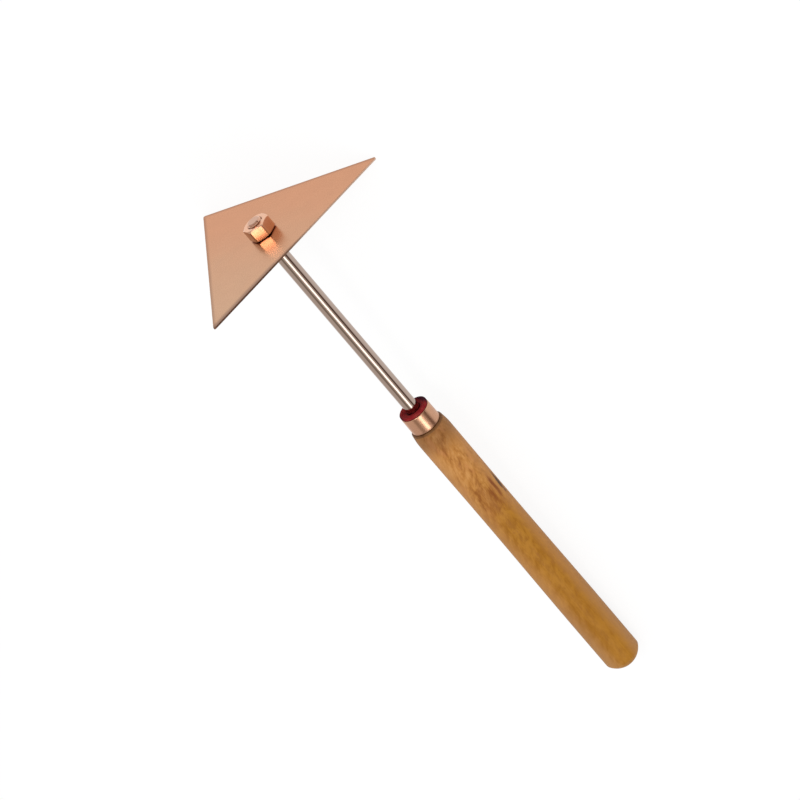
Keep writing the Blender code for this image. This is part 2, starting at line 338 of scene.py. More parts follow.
class Shade:
    """The node tree of one material or of the world."""

    def __init__(self, tree):
        self.tree = tree
        self.tree.nodes.clear()

    def node(self, kind, settings=None, sockets=None, out=0):
        """Adds a node, sets it up, then fills its sockets; gives one of its outputs."""
        made = self.tree.nodes.new(kind)
        for name, value in (settings or {}).items():
            if name == "stops":
                ramp = made.color_ramp.elements
                while len(ramp) < len(value):
                    ramp.new(1.0)
                for stop, (position, tone) in zip(ramp, value):
                    stop.position = position
                    stop.color = (*tone, 1.0)
            else:
                setattr(made, name, value)
        for name, value in (sockets or {}).items():
            socket = made.inputs[name]
            if isinstance(value, Wire):
                self.tree.links.new(value.socket, socket)
            elif socket.type == "RGBA":
                socket.default_value = (*value[:3], 1.0)
            else:
                socket.default_value = value
        return Wire(self, made.outputs[out]) if made.outputs else made

    def maths(self, operation, *terms):
        return self.node("ShaderNodeMath", {"operation": operation}, dict(enumerate(terms)))

    def rise(self, value, low, high):
        """0 below low, 1 above high and a smooth rise between them."""
        sockets = {0: value, 1: low, 2: high}
        return self.node("ShaderNodeMapRange", {"interpolation_type": "SMOOTHSTEP"}, sockets)

    def blend(self, amount, first, second, way="MIX"):
        """Two colours mixed; indices are those of the Mix node's colour sockets."""
        settings = {"data_type": "RGBA", "blend_type": way}
        return self.node("ShaderNodeMix", settings, {0: amount, 6: first, 7: second}, out=2)

    def vector(self, x, y, z):
        return self.node("ShaderNodeCombineXYZ", None, {0: x, 1: y, 2: z})

    def split(self, vector):
        return [self.node("ShaderNodeSeparateXYZ", None, {0: vector}, out=i) for i in range(3)]

    def rays(self, *kinds):
        """1 for the rays of each kind and 0 for the others."""
        return [self.node("ShaderNodeLightPath", out=f"Is {kind} Ray") for kind in kinds]

    def tool_axes(self):
        """Coordinates along and across the shank's axis, the same on every piece."""
        spot = self.node("ShaderNodeTexCoord", out="Object")
        moved = {0: spot, "Location": TO_TOOL.translation, "Rotation": (0.0, TILT, 0.0)}
        return self.split(self.node("ShaderNodeMapping", {"vector_type": "POINT"}, moved))

    def noise(self, vector, detail=2.0, rough=0.5, twist=0.0):
        sockets = {
            "Vector": vector,
            "Scale": 1.0,
            "Detail": detail,
            "Roughness": rough,
            "Distortion": twist,
        }
        return self.node("ShaderNodeTexNoise", None, sockets)

    def grain(self, spot, scales, detail=2.0, rough=0.5, twist=0.0):
        """Noise with a scale of its own along each axis."""
        stretched = [place * scale for place, scale in zip(spot, scales)]
        return self.noise(self.vector(*stretched), detail, rough, twist)

    def radius(self, y, z):
        """Distance from the shank's axis."""
        return self.maths("SQRT", y * y + z * z)

    def dimmed(self, tone, amount):
        """A colour times a grey amount."""
        return self.blend(1.0, tone, self.vector(amount, amount, amount), "MULTIPLY")

    def bump(self, height, strength, distance):
        sockets = {"Height": height, "Strength": strength, "Distance": distance}
        return self.node("ShaderNodeBump", None, sockets)


def surface(sockets_of):
    """Lets a function that adds nodes and gives the shader's sockets make its own material."""

    def make(look):
        material = bpy.data.materials.new(sockets_of.__name__)
        material.use_nodes = True
        shade = Shade(material.node_tree)
        shader = shade.node("ShaderNodeBsdfPrincipled", None, sockets_of(shade, look))
        shade.node("ShaderNodeOutputMaterial", None, {"Surface": shader})
        return material

    return make


@surface
def satin_copper(shade, look):
    """Rolled copper-coloured plate: soft clouding, faint rolling lines, painted shade along the
    edges.
    """
    x, y, z = spot = shade.tool_axes()
    cloud = shade.grain(spot, (25, 25, 25), 3.0, 0.55)
    patch = shade.grain(spot, (90, 75, 110))
    rolling = shade.grain(spot, (200, 45, 2600), 3.0, 0.6)
    scratch = shade.noise(shade.vector(x * 200, y * 3400 + z * 2100, z * 60 - y * 100))
    height = shade.rise(z + swing(cloud, 0.05), -0.045, 0.075)
    tone = shade.blend(height, look.warm, look.pale)
    tone = shade.dimmed(tone, 1 - swing(patch, 0.10) - swing(rolling, 0.05))

    # Distance towards each of the three edges; beside them painted shade darkens the edges and the
    # upper land, and the lower land is bare metal
    lower = z * -1
    right, left = [y * cos(turn) + z * sin(turn) for turn in (pi / 6, pi * 5 / 6)]
    inside = BLADE_INRADIUS - shade.maths("MAXIMUM", lower, right)
    rim = 1 - shade.rise(inside + swing(patch, 0.0008), 0.0004, 0.0030)
    tone = shade.blend(rim * 0.42, tone, look.edge)
    land = shade.rise(x * -1, 0.00006, 0.00016)
    land = land * (1 - shade.rise(x * -1, look.land, look.land + 0.0001))
    high = shade.rise(z + swing(cloud, 0.02), 0.0, 0.055)
    bright = land * (1 - high)
    tone = shade.blend(land * high * 0.85, tone, look.edge)
    tone = shade.blend(bright * 0.8, tone, look.bare)
    # Painted shade along the third edge, wider towards the top
    wide = 0.0010 + high * 0.0050
    worn = shade.rise(left - BLADE_INRADIUS + wide + swing(patch, 0.0010), 0.0, wide)
    worn = worn * shade.rise(z + swing(cloud, 0.03), 0.0, 0.050)
    tone = shade.blend(worn * 0.90, tone, look.edge)

    # Painted shade round the nuts where they meet the blade, and scratches
    radius = shade.radius(y, z)
    stain = 1 - shade.rise(radius + swing(patch, 0.0010), 0.0086, 0.0102)
    tone = shade.blend(stain * 0.55, tone, PAINTED_SEAT_SHADE)
    line = shade.rise(scratch, 0.62, 0.80)
    gloss = look.gloss + swing(cloud, 0.10) + line * 0.06 + rim * 0.12 + bright * 0.30
    height = rolling * 0.6 + line * 0.5 + patch * 0.4
    return {
        "Base Color": tone,
        "Metallic": 1.0,
        "Roughness": gloss,
        "Normal": shade.bump(height, strength=0.12, distance=0.00003),
    }


@surface
def pale_bronze(shade, look):
    """Bright nuts: turned rings on the faces, faint lines on the flats."""
    x, y, z = spot = shade.tool_axes()
    radius = shade.radius(y, z)
    ring = shade.noise(shade.vector(radius * 5200 + x * 900, y * 60, z * 60), 3.0, 0.6)
    cloud = shade.grain(spot, (260, 260, 260), 3.0, 0.55)
    wear = shade.rise(radius + swing(cloud, 0.0008), look.across / 2 + 0.0004, NUT_REACH)

    # The turned end and chamfer of each nut, measured outward from between the two nuts
    middle = (NUT_FRONT + BACK_NUT_REAR) / 2
    outward = shade.maths("ABSOLUTE", x - middle)
    slope = shade.maths("MAXIMUM", radius - look.face / 2, 0.0) * tan(pi / 6)
    end = 1 - shade.rise(NUT_FRONT - middle - outward - slope, 0.00005, 0.00020)
    tone = shade.blend(end, look.metal, look.turned)
    tone = shade.dimmed(tone, 1 - swing(cloud, 0.14) - swing(ring, 0.06))
    tone = shade.blend(wear * 0.35, tone, look.bare)
    # Painted shade on each nut's end where it meets the blade
    seat = 1 - shade.rise(shade.maths("ABSOLUTE", x - BLADE_REAR / 2), 0.0022, 0.0029)
    tone = shade.blend(seat * 0.55, tone, PAINTED_SEAT_SHADE)

    # The front nut's flat that faces 60 degrees up from the side is darkened with painted shade
    side = y * cos(pi / 3) + z * sin(pi / 3)
    tarnish = shade.rise(side, look.across / 2 - 0.0008, look.across / 2 - 0.0003)
    tarnish = tarnish * shade.rise(x, 0.0, 0.0002) * (1 - end)
    tone = shade.blend(tarnish * 0.8, tone, look.tarnish, "MULTIPLY")
    return {
        "Base Color": tone,
        "Metallic": 1.0,
        "Roughness": look.gloss + swing(cloud, 0.14),
        "Normal": shade.bump(ring + cloud * 0.7, strength=0.16, distance=0.00003),
    }


@surface
def bright_steel(shade, look):
    """Polished rod: lengthwise drawing lines, faint stains, thread grooves darkened with painted
    shade.
    """
    x, y, z = spot = shade.tool_axes()
    radius = shade.radius(y, z)
    drawn = shade.grain(spot, (25, 2600, 2600), 3.0, 0.6)
    stain = shade.grain(spot, (60, 160, 160), 3.0, 0.6)
    groove = shade.rise(ROD_RADIUS - radius, 0.00025, look.depth)
    groove = groove * shade.rise(x, -look.thread - 0.002, -look.thread + 0.001)
    groove = groove * (1 - shade.rise(x, NUT_FRONT, NUT_FRONT + 0.0008) * 0.8)
    tone = shade.blend(shade.rise(x, -0.002, 0.002), look.metal, look.end)
    tone = shade.dimmed(tone, 1 - swing(stain, 0.12) - swing(drawn, 0.05))
    # Painted shade in the thread's groove, fainter in front of the nut
    tone = shade.blend(groove * 0.8, tone, look.oil)
    return {
        "Base Color": tone,
        "Metallic": 1.0,
        "Roughness": look.gloss + swing(stain, 0.08) + groove * 0.25,
        "Normal": shade.bump(drawn, strength=0.10, distance=0.00002),
    }


@surface
def polished_copper(shade, look):
    """Spun ferrule: polishing lines round the tube and a darker tint at the rear edge."""
    spot = shade.tool_axes()
    lines = shade.grain(spot, (4200, 40, 40), 3.0, 0.6)
    cloud = shade.grain(spot, (120, 120, 120), 3.0, 0.55)
    back = spot[0] + swing(cloud, 0.002)
    rear = 1 - shade.rise(back, FERRULE_REAR, FERRULE_REAR + 0.0016)
    tone = shade.dimmed(look.metal, 1 - swing(cloud, 0.20) - swing(lines, 0.08))
    # Darker towards the rear edge, beside the wood
    tone = shade.blend(rear * 0.55, tone, look.heat)
    return {
        "Base Color": tone,
        "Metallic": 1.0,
        "Roughness": look.gloss + swing(cloud, 0.12) + rear * 0.15,
        "Normal": shade.bump(lines + cloud * 0.6, strength=0.14, distance=0.00003),
    }


@surface
def crimson_bush(shade, look):
    """Crimson flange with painted shade in the dish, and painted shade and dark reflection on parts
    of the rim.
    """
    x, y, z = spot = shade.tool_axes()
    radius = shade.radius(y, z)
    cloud = shade.grain(spot, (420, 420, 420), 3.0, 0.6)
    ring = shade.noise(shade.vector(radius * 4000 + x * 4000, y * 60, z * 60))
    # Painted shade in the dish round the bore
    dish = 1 - shade.rise(radius + swing(cloud, 0.0016), 0.0050, 0.0072)
    tone = shade.blend(shade.rise(cloud, 0.48, 0.66) * 0.5, look.red, look.worn)
    tone = shade.blend(dish * 0.75, tone, look.dark)
    tone = shade.blend((1 - shade.rise(cloud, 0.28, 0.46)) * 0.4, tone, look.dark)
    # Painted shade and dark reflection on the rim, low down and on one side
    under = shade.rise(z * -1 - y * 0.5 + swing(cloud, 0.002), 0.0064, 0.0098)
    aside = shade.rise((y + z) * sqrt(0.5), 0.0088, 0.0102)
    rim_shade = shade.maths("MAXIMUM", under * 0.9, aside * 0.7)
    tone = shade.blend(rim_shade, tone, look.soot)
    return {
        "Base Color": tone,
        "Roughness": look.gloss + swing(cloud, 0.25),
        "Specular IOR Level": 0.05,
        "Normal": shade.bump(ring * 0.5 + cloud, strength=0.20, distance=0.00006),
    }


@surface
def varnished_wood(shade, look):
    """Close-grained wood under thin varnish, with soft clouding, fibres and pores."""
    x, y, z = spot = shade.tool_axes()
    back = x * -1
    cloud = shade.grain(spot, (18, 50, 50), 3.0, 0.55)
    leaning = (x, y + x * 0.35, z)
    mottle = shade.grain(leaning, (110, 300, 300), 3.0, 0.55, 0.3)
    fibre = shade.grain(spot, (90, 2200, 2200), 4.0, 0.65)
    pores = shade.grain(spot, (420, 3600, 3600))

    # Figured front
    figure = 0.5 + swing(mottle, 1.8) + swing(cloud, 0.7) + swing(fibre, 0.6)
    stops = ((0.15, look.deep), (0.5, look.middle), (0.85, look.light))
    tone = shade.node("ShaderNodeValToRGB", {"stops": stops}, {0: figure})
    blush = shade.grain(spot, (55, 160, 160))
    tone = shade.blend(shade.rise(blush, 0.50, 0.66) * 0.4, tone, look.blush)

    # Plainer rear
    marbled = 1.2 + (1 - shade.rise(back, *MARBLED_TO)) * 1.6
    plain = 0.5 + swing(cloud, 1.6) + (mottle - 0.5) * marbled + swing(fibre, 1.4)
    plain = shade.blend(shade.rise(plain, 0.1, 0.9), look.brown, look.ochre)
    rear = shade.rise(back + swing(cloud, 0.05) + swing(mottle, 0.02), *PLAIN_FROM)
    tone = shade.blend(rear, tone, plain)

    # Short dark flecks, and a painted sheen: paler, pinker wood along both sides of the handle as
    # the camera sees it
    fleck = shade.grain(leaning, (170, 620, 620))
    sparse = 0.42 - shade.rise(back, *FLECKED_TO) * 0.30
    tone = shade.blend(shade.rise(fleck, 0.56, 0.72) * sparse, tone, look.deep)
    aside = shade.maths("ABSOLUTE", y + z + swing(cloud, 0.008) + swing(mottle, 0.006))
    sap = shade.blend(shade.rise(back, *SIDE_SHEEN_REAR_TO), look.sap, look.rear_sap)
    tone = shade.blend(shade.rise(aside, 0.004, 0.016) * 0.55, tone, sap)

    # Handled neck, and a dark band in the wood along the ferrule
    neck = shade.rise(x + swing(mottle, 0.014), -0.200, -0.184)
    tone = shade.blend(neck * 0.9, tone, look.grime, "MULTIPLY")
    near, far = FERRULE_REAR - 0.0010, FERRULE_REAR - 0.0022
    tone = shade.blend(shade.rise(x + swing(mottle, 0.0008), far, near) * 0.55, tone, look.rim)

    for tint, strength, centre, across, up, half_long, half_wide in WOOD_MARKS:
        along = (back - centre) / half_long
        over = (y * up - z * across) / half_wide
        apart = along * along + over * over + swing(mottle, 1.2) + swing(fibre, 2.2)
        facing = shade.rise(y * across + z * up, 0.004, 0.009)
        inside = (1 - shade.rise(apart, 0.0, 1.2)) * facing
        tone = shade.blend(inside * strength, tone, getattr(look, tint))

    pore = shade.rise(pores, 0.60, 0.74)
    tone = shade.blend(pore * 0.25, tone, look.pores)
    height = fibre * 0.5 + mottle * 0.4 - pore * 0.8
    return {
        "Base Color": tone,
        "Roughness": look.gloss + swing(mottle, 0.10) + pore * 0.1,
        "Specular IOR Level": 0.2,
        "Normal": shade.bump(height, strength=0.12, distance=0.00010),
    }


def mesh_of(name, bm):
    """A mesh made of a bmesh, which is then freed."""
    mesh = bpy.data.meshes.new(name)
    bm.to_mesh(mesh)
    bm.free()
    return mesh


def placed(name, data):
    """A new object in the scene."""
    thing = bpy.data.objects.new(name, data)
    bpy.context.scene.collection.objects.link(thing)
    return thing


def finished(name, bm, material, body, node, flat_from=1.0):
    """Makes a piece of a bmesh, carries it into place and says what it rides on and replaces.

    Faces with an area from flat_from on, and those square to the axis, are shaded flat.
    """
    bmesh.ops.remove_doubles(bm, verts=bm.verts, dist=MERGE)
    bmesh.ops.recalc_face_normals(bm, faces=bm.faces)
    bmesh.ops.transform(bm, matrix=TOOL, verts=bm.verts)
    mesh = mesh_of(name, bm)
    mesh.set_sharp_from_angle(angle=CREASE)
    axis = TOOL.to_3x3().col[0]
    for polygon in mesh.polygons:
        square = abs(polygon.normal.dot(axis)) > SQUARE
        polygon.use_smooth = polygon.area < flat_from and not square
    mesh.materials.append(material)
    piece = placed(name, mesh)
    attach(piece, body)
    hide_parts(node)
    return piece


def arc(centre_x, centre_r, radius, start, end, steps=8):
    """Points (x, r) along an arc; the angle is measured from +X towards +r."""
    angles = [start + (end - start) * i / steps for i in range(steps + 1)]
    return [(centre_x + radius * cos(a), centre_r + radius * sin(a)) for a in angles]


def spun(outline, steps, closed=False, turns=1, pitch=0.0):
    """Spins an outline of (x, r) points about the shank's axis, and along it by the pitch."""
    bm = bmesh.new()
    rim = [bm.verts.new((x, 0, r)) for x, r in outline]
    edges = [bm.edges.new(pair) for pair in zip(rim, rim[1:])]
    if closed:
        edges.append(bm.edges.new((rim[-1], rim[0])))
    bmesh.ops.spin(
        bm,
        geom=rim + edges,
        cent=(0, 0, 0),
        axis=(1, 0, 0),
        dvec=(pitch / steps, 0, 0),
        angle=2 * pi * turns,
        steps=steps * turns,
        use_merge=not pitch,
    )
    bmesh.ops.remove_doubles(bm, verts=bm.verts, dist=MERGE)
    return bm


def open_edges(bm, x):
    """The open edges of a shell that lie in the plane at x."""
    near = 1e-5
    loop = [e for e in bm.edges if e.is_boundary]
    return [e for e in loop if all(abs(v.co.x - x) < near for v in e.verts)]


def ring_of(bm, x, radius, steps):
    """A loose circle of edges about the shank's axis."""
    made = bmesh.ops.create_circle(
        bm,
        cap_ends=False,
        segments=steps,
        radius=radius,
        matrix=Matrix.Translation((x, 0, 0)) @ Matrix.Rotation(pi / 2, 4, "Y"),
    )
    return list({edge for vert in made["verts"] for edge in vert.link_edges})


def rounded(bm, edges, offset, segments):
    bmesh.ops.bevel(
        bm,
        geom=edges,
        affect="EDGES",
        offset=offset,
        segments=segments,
        profile=0.5,
        material=-1,
    )


class SCRAPER_OT_blade(Operator):
    """Ground triangular plate with rounded tips, broken edges and a round hole"""

    bl_idname = "scraper.blade"
    bl_label = "Blade"

    hole_steps = 60

    def execute(self, context):
        look = context.scene.scraper_blade
        thickness = BLADE_FRONT - BLADE_REAR
        bm = bmesh.new()
        bmesh.ops.create_circle(
            bm,
            cap_ends=True,
            segments=3,
            radius=2 * BLADE_INRADIUS,
            matrix=Matrix.Rotation(pi / 2, 4, "Y"),
        )
        # One corner to the top, then the square land and the ground part behind it
        tip = bm.verts[:][0]
        turn = pi / 2 - atan2(tip.co.z, tip.co.y)
        bmesh.ops.rotate(bm, verts=bm.verts, matrix=Matrix.Rotation(turn, 3, "X"))
        face = bm.faces[:][0]
        for step in (look.land, thickness - look.land):
            made = bmesh.ops.extrude_face_region(bm, geom=[face], use_keep_orig=step == look.land)
            verts = [g for g in made["geom"] if isinstance(g, bmesh.types.BMVert)]
            bmesh.ops.translate(bm, verts=verts, vec=(-step, 0, 0))
            face = next(g for g in made["geom"] if isinstance(g, bmesh.types.BMFace))
        uprights = [e for e in bm.edges if abs(e.verts[0].co.x - e.verts[1].co.x) > MERGE]
        rounded(bm, uprights, offset=look.tip * sqrt(3), segments=8)
        rear = [v for v in bm.verts if abs(v.co.x + thickness) < MERGE]
        scale = 1 - look.grind / BLADE_INRADIUS
        bmesh.ops.scale(bm, verts=rear, vec=(1, scale, scale))
        rims = []
        for edge in bm.edges:
            level = abs(edge.verts[0].co.x - edge.verts[1].co.x) < MERGE
            if level and len(edge.link_faces) == 2:
                rims.append(edge)
        rounded(bm, rims, offset=look.arris, segments=2)
        bm.normal_update()
        flats = [f for f in bm.faces if abs(f.normal.x) > SQUARE and len(f.verts) > 8]
        bmesh.ops.delete(bm, geom=flats, context="FACES_ONLY")
        bore = ROD_RADIUS + GAP
        rings = []
        for x in (0.0, -thickness):
            outer = open_edges(bm, x)
            inner = ring_of(bm, x, bore, self.hole_steps)
            bmesh.ops.triangle_fill(bm, edges=outer + inner, use_beauty=True)
            rings += inner
        bmesh.ops.bridge_loops(bm, edges=rings)
        metal = satin_copper(look)
        finished("ground_blade", bm, metal, "blade", "blade", flat_from=3e-6)
        return {"FINISHED"}


class SCRAPER_OT_nuts(Operator):
    """Two hex nuts, chamfered on both faces, one on each side of the blade"""

    bl_idname = "scraper.nuts"
    bl_label = "Nuts"

    side_steps = 20

    def outline(self, look, height, turn):
        """Ring by ring, each ring's (x, y, z) points, from the rear hole round to the front."""
        steps = 6 * self.side_steps
        face = look.face / 2
        bore = ROD_RADIUS + GAP
        fillet = 0.00012
        corner = look.across / sqrt(3) - fillet
        inner = face - 0.0003
        rings = []

        def level(x, radius):
            angles = [2 * pi * i / steps for i in range(steps)]
            rings.append([(x, radius * cos(a + turn), radius * sin(a + turn)) for a in angles])

        def hexagon(inset, lean, front=False):
            ring = []
            for i in range(steps):
                angle = 2 * pi * i / steps
                off = (angle + pi / 6) % (pi / 3) - pi / 6
                radius = min(look.across / 2 / cos(off), corner)
                drop = (radius - face) * tan(pi / 6) + lean
                x = height - drop if front else drop
                radius -= inset
                ring.append((x, radius * cos(angle + turn), radius * sin(angle + turn)))
            rings.append(ring)

        # Hole, countersink and face, then the rounded rim as shares of the fillet: in, along
        flat = ((look.sink, bore), (0.0, bore + look.sink), (0.0, inner), (0.0, face))
        rounding = ((0.7, -0.5), (0.2, 0.1), (0.0, 1.0))
        for x, radius in flat:
            level(x, radius)
        for inset, lean in rounding:
            hexagon(fillet * inset, fillet * lean)
        for inset, lean in reversed(rounding):
            hexagon(fillet * inset, fillet * lean, front=True)
        for x, radius in reversed(flat):
            level(height - x, radius)
        return rings

    def nut(self, look, rear, height, turn):
        """Extrudes ring after ring from a loose circle, then joins the last to the first."""
        bm = bmesh.new()
        rings = self.outline(look, height, turn)
        edges = ring_of(bm, 0.0, 1.0, len(rings[0]))
        start = edges
        verts = sorted({v for e in edges for v in e.verts}, key=lambda v: atan2(v.co.z, v.co.y))
        for number, ring in enumerate(rings):
            if number:
                made = bmesh.ops.extrude_edge_only(bm, edges=edges)["geom"]
                raised = {g for g in made if isinstance(g, bmesh.types.BMVert)}
                pairs = {}
                for vert in raised:
                    for edge in vert.link_edges:
                        other = edge.other_vert(vert)
                        if other not in raised:
                            pairs[other] = vert
                verts = [pairs[vert] for vert in verts]
                edges = [g for g in made if isinstance(g, bmesh.types.BMEdge)]
            for vert, spot in zip(verts, ring):
                vert.co = spot
        bmesh.ops.bridge_loops(bm, edges=start + edges)
        bmesh.ops.translate(bm, verts=bm.verts, vec=(rear, 0, 0))
        return bm

    def turn_of(self, node):
        """Angle of a nut's corner about the axis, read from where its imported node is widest."""
        widest = max(spots_of(node), key=lambda spot: spot.y**2 + spot.z**2)
        return atan2(widest.z, widest.y) - pi / 6

    def execute(self, context):
        look = context.scene.scraper_nuts
        metal = pale_bronze(look)
        height = NUT_FRONT - NUT_REAR
        front = self.nut(look, NUT_REAR, height, self.turn_of("blade_nut"))
        finished("front_nut", front, metal, "nut", "blade_nut")
        rear = self.nut(look, BACK_NUT_REAR, height, self.turn_of("back_nut"))
        finished("rear_nut", rear, metal, "tool", "back_nut")
        return {"FINISHED"}


class SCRAPER_OT_shank(Operator):
    """Polished rod with a cut thread in front and a blunt tang behind"""

    bl_idname = "scraper.shank"
    bl_label = "Shank"

    steps = 72

    def thread(self, look, start, end):
        """Helical groove between two planes, fading out at both ends."""
        pitch = look.pitch
        # One turn's outline in shares of the pitch and of the depth: half a crest, a flank down,
        # the root, a flank up and half a crest
        half_crest, flank, root_end, flank_steps = 0.06, 0.38, 0.56, 3
        shares = [i / flank_steps for i in range(1, flank_steps + 1)]
        marks = [0.0, half_crest]
        marks += [half_crest + flank * part for part in shares]
        marks += [root_end]
        marks += [root_end + flank * part for part in shares]
        marks += [1.0]
        lows = [0.0, 0.0, *shares, 1.0, *(1 - part for part in shares), 0.0]
        origin = start - 1.5 * pitch
        outline = [
            (origin + mark * pitch, ROD_RADIUS - low * look.depth) for mark, low in zip(marks, lows)
        ]
        turns = int((end - start) / pitch) + 4
        bm = spun(outline, self.steps, turns=turns, pitch=pitch)
        for x, outward in ((start, -1), (end, 1)):
            bmesh.ops.bisect_plane(
                bm,
                geom=bm.verts[:] + bm.edges[:] + bm.faces[:],
                dist=MERGE,
                plane_co=(x, 0, 0),
                plane_no=(outward, 0, 0),
                clear_outer=True,
            )
        # Shallower towards both ends, under a chamfer in front
        for vert in bm.verts:
            radius = sqrt(vert.co.y**2 + vert.co.z**2)
            fade = min(1.0, (vert.co.x - start) / (1.5 * pitch))
            fade *= min(1.0, 0.4 + (end - vert.co.x) / (3 * pitch))
            wanted = ROD_RADIUS - (ROD_RADIUS - radius) * fade
            wanted = min(wanted, ROD_RADIUS - look.chamfer + (end - vert.co.x))
            vert.co.y *= wanted / radius
            vert.co.z *= wanted / radius
        return bm

    def execute(self, context):
        look = context.scene.scraper_shank
        start = -look.thread
        bm = self.thread(look, start, STUD_END)
        bmesh.ops.contextual_create(bm, geom=open_edges(bm, STUD_END))

        # Plain band behind the thread, rings beside the rod's ends, the tang's blunt end, and
        # the distance at which band and rod merge
        band, margin = 0.0003, 0.0005
        blunt, chamfer = 0.0021, 0.0004
        seam = 0.00002

        # The band joins the thread to the rod
        joined = start - band
        front = open_edges(bm, start)
        rear = ring_of(bm, joined, ROD_RADIUS, self.steps)
        bmesh.ops.bridge_loops(bm, edges=front + rear)

        # The rod, with a ring beside each end of its plain length, and the tapered tang
        tang = TANG_END + look.point
        profile = [(joined, ROD_RADIUS), (joined - margin, ROD_RADIUS)]
        profile += [(tang + margin, ROD_RADIUS), (tang, ROD_RADIUS)]
        profile += [(TANG_END + chamfer, blunt), (TANG_END, blunt - chamfer), (TANG_END, 0.0)]
        mesh = mesh_of("rod", spun(profile, self.steps))
        bm.from_mesh(mesh)
        bpy.data.meshes.remove(mesh)
        bmesh.ops.remove_doubles(bm, verts=bm.verts, dist=seam)
        finished("threaded_shank", bm, bright_steel(look), "tool", "shank")
        return {"FINISHED"}


class SCRAPER_OT_ferrule(Operator):
    """Short polished tube with a rounded front lip"""

    bl_idname = "scraper.ferrule"
    bl_label = "Ferrule"

    def execute(self, context):
        look = context.scene.scraper_ferrule
        lip = look.lip
        front = look.front / 2
        inner = front - look.wall
        burr = 0.00015

        # Round the front lip, along the slightly tapered outside and over the rear edge
        outline = arc(FERRULE_FRONT - lip, inner + lip, lip, -pi / 2, 0)
        outline += arc(FERRULE_FRONT - lip, front - lip, lip, 0, pi / 2)
        outline.append((FERRULE_FRONT - 2 * lip, front + 0.00002))
        outline.append((FERRULE_REAR + 2 * burr, FERRULE_RADIUS - 0.00001))
        outline += arc(FERRULE_REAR + burr, FERRULE_RADIUS - burr, burr, pi / 2, pi, steps=4)
        outline.append((FERRULE_REAR, inner))
        bm = spun(outline, TURN_STEPS, closed=True)
        finished("copper_ferrule", bm, polished_copper(look), "tool", "ferrule")
        return {"FINISHED"}


class SCRAPER_OT_bush(Operator):
    """Flanged bush: flange over the ferrule's lip, dished front, body inside the tube"""

    bl_idname = "scraper.bush"
    bl_label = "Bush"

    def execute(self, context):
        look = context.scene.scraper_bush
        lip = look.lip
        bore = look.bore / 2
        body = look.body / 2
        seat = BUSH_FRONT - look.proud + GAP
        round_in, corner = 0.0004, 0.0002
        floor = BUSH_FRONT - look.recess

        # Bore, dished front, round the flange's rim and back along the body
        outline = [(BUSH_REAR, bore), (floor - corner, bore), (floor, bore + corner)]
        outline.append((floor + 0.00005, bore + 0.0012))
        outline.append((BUSH_FRONT - round_in, look.mouth / 2 - round_in))
        centre = look.mouth / 2 + 0.0001
        outline += arc(BUSH_FRONT - round_in, centre, round_in, pi, pi / 2, steps=5)[1:]
        outline = [spot for spot in outline if spot[0] <= BUSH_FRONT]
        outline += arc(BUSH_FRONT - lip, BUSH_RADIUS - lip, lip, 0, pi / 2)
        outline += arc(seat + corner, BUSH_RADIUS - corner, corner, pi / 2, pi, steps=3)
        outline += [(seat, body), (BUSH_REAR, body)]
        bm = spun(outline, TURN_STEPS, closed=True)
        finished("flanged_bush", bm, crimson_bush(look), "tool", "collar_bush")
        return {"FINISHED"}


class SCRAPER_OT_handle(Operator):
    """Turned handle: rounded front edge, shoulder, waist, swell and domed butt"""

    bl_idname = "scraper.handle"
    bl_label = "Handle"

    shoulder_steps = 12
    grip_steps = 48

    def barrel(self, look, x, shoulder_x):
        """Diameter of the grip at x."""
        if x > -look.waist_back:
            part = (shoulder_x - x) / (shoulder_x + look.waist_back)
            first, second = look.shoulder, look.waist
        else:
            part = min(1.0, (-look.waist_back - x) / (look.swell_back - look.waist_back))
            first, second = look.waist, look.swell
        return first + (second - first) * (1 - cos(pi * part)) / 2

    def execute(self, context):
        look = context.scene.scraper_handle
        seat = FERRULE_REAR - GAP
        bore = ROD_RADIUS + GAP
        spigot = context.scene.scraper_bush.body / 2
        front = look.front / 2
        edge = look.edge
        hole_end = TANG_END - 0.001
        outline = [(hole_end, 0), (hole_end, bore), (SPIGOT_FRONT, bore)]
        outline += [(SPIGOT_FRONT, spigot), (seat, spigot), (seat, front - edge - 0.0002)]
        outline += arc(seat - edge, front - edge, edge, 0, pi / 2)
        for i in range(1, self.shoulder_steps + 1):
            part = i / self.shoulder_steps
            radius = front + (look.shoulder / 2 - front) * sin(part * pi / 2)
            outline.append((seat - edge - look.shoulder_run * part, radius))
        shoulder_x = seat - edge - look.shoulder_run
        centre = HANDLE_END + look.dome
        butt = look.swell / 2
        rim = centre - sqrt(look.dome**2 - butt**2)
        for i in range(1, self.grip_steps + 1):
            x = shoulder_x + (rim - shoulder_x) * i / self.grip_steps
            outline.append((x, self.barrel(look, x, shoulder_x) / 2))
        angle = atan2(butt, rim - centre)
        outline += arc(centre, 0, look.dome, angle, pi, steps=24)[1:-1]
        outline.append((HANDLE_END, 0))
        bm = spun(outline, TURN_STEPS)
        finished("turned_handle", bm, varnished_wood(look), "tool", "handle")
        return {"FINISHED"}


